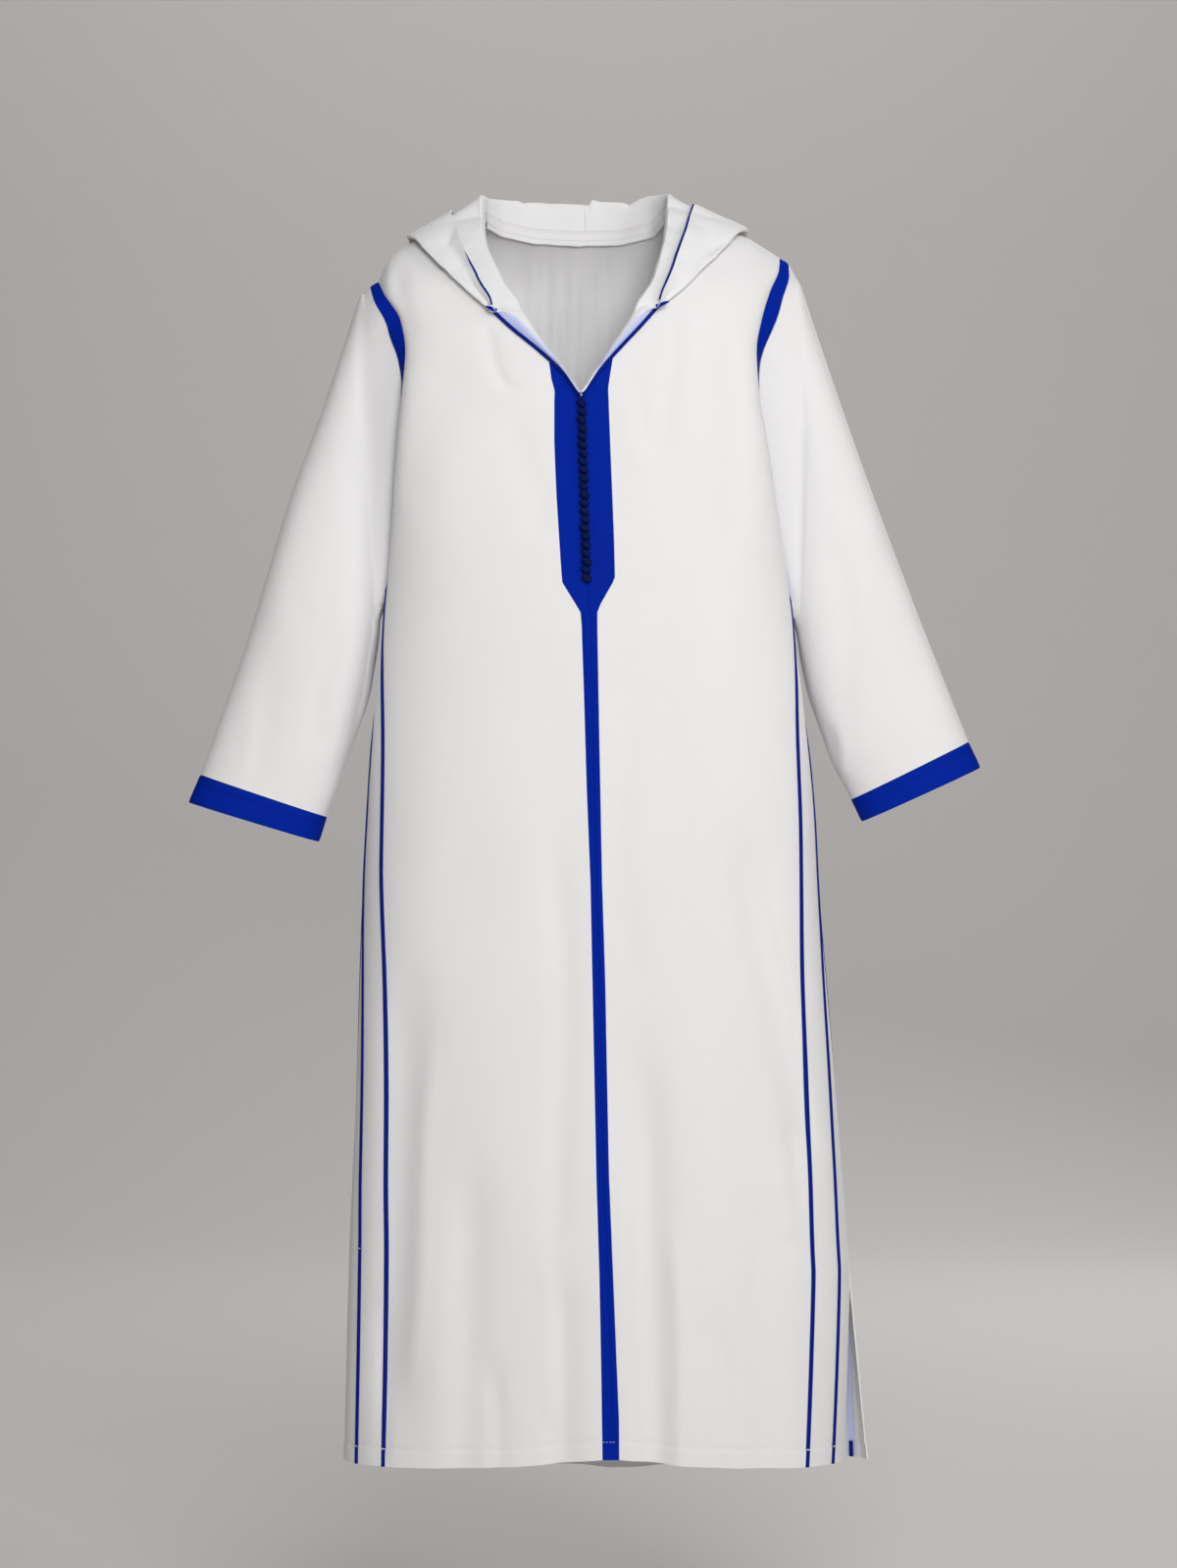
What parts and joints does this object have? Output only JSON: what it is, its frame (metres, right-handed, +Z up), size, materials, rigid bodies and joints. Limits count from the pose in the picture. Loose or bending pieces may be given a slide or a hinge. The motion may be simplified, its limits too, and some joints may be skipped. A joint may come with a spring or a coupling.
{
  "type": "djellaba robe",
  "caption": "Long hooded robe with straight sleeves, a placket of knotted buttons, corded panel seams, side slits and the hood folded down, filled out and empty.",
  "frame": {"origin": "middle of the neck opening, between the two shoulder seams, where the robe is held", "axes": "+X to the viewer's right as the front is looked at, +Y from the front to the back, +Z up towards the hood"},
  "size_m": [0.8967, 0.2429, 1.4589],
  "materials": {
    "white_cloth": "smooth plain weave with a slight sheen",
    "blue_cloth": "smooth plain weave",
    "blue_cord": "ribbed braid",
    "navy_cord": "knotted silk-like cord"
  },
  "bodies": {
    "root": {"armhole_left": "blue_cloth", "armhole_right": "blue_cloth", "back_panel": "white_cloth", "centre_strip": "blue_cloth", "cuff_left": "blue_cloth", "cuff_right": "blue_cloth", "edge_left": "blue_cord", "edge_right": "blue_cord", "facing_left": "white_cloth", "facing_right": "white_cloth", "front_left": "white_cloth", "front_right": "white_cloth", "gore_back_left": "white_cloth", "gore_back_right": "white_cloth", "gore_front_left": "white_cloth", "gore_front_right": "white_cloth", "hood_left": "white_cloth", "hood_right": "white_cloth", "knots": "navy_cord", "placket": "blue_cloth", "rim_left": "blue_cord", "rim_right": "blue_cord", "side_back_left": "white_cloth", "side_back_right": "white_cloth", "side_front_left": "white_cloth", "side_front_right": "white_cloth", "sleeve_left": "white_cloth", "sleeve_right": "white_cloth", "stripe_1_left": "blue_cord", "stripe_1_right": "blue_cord", "stripe_2_left": "blue_cord", "stripe_2_right": "blue_cord", "stripe_3_left": "blue_cord", "stripe_3_right": "blue_cord", "stripe_4_left": "blue_cord", "stripe_4_right": "blue_cord"}
  },
  "joints": []
}
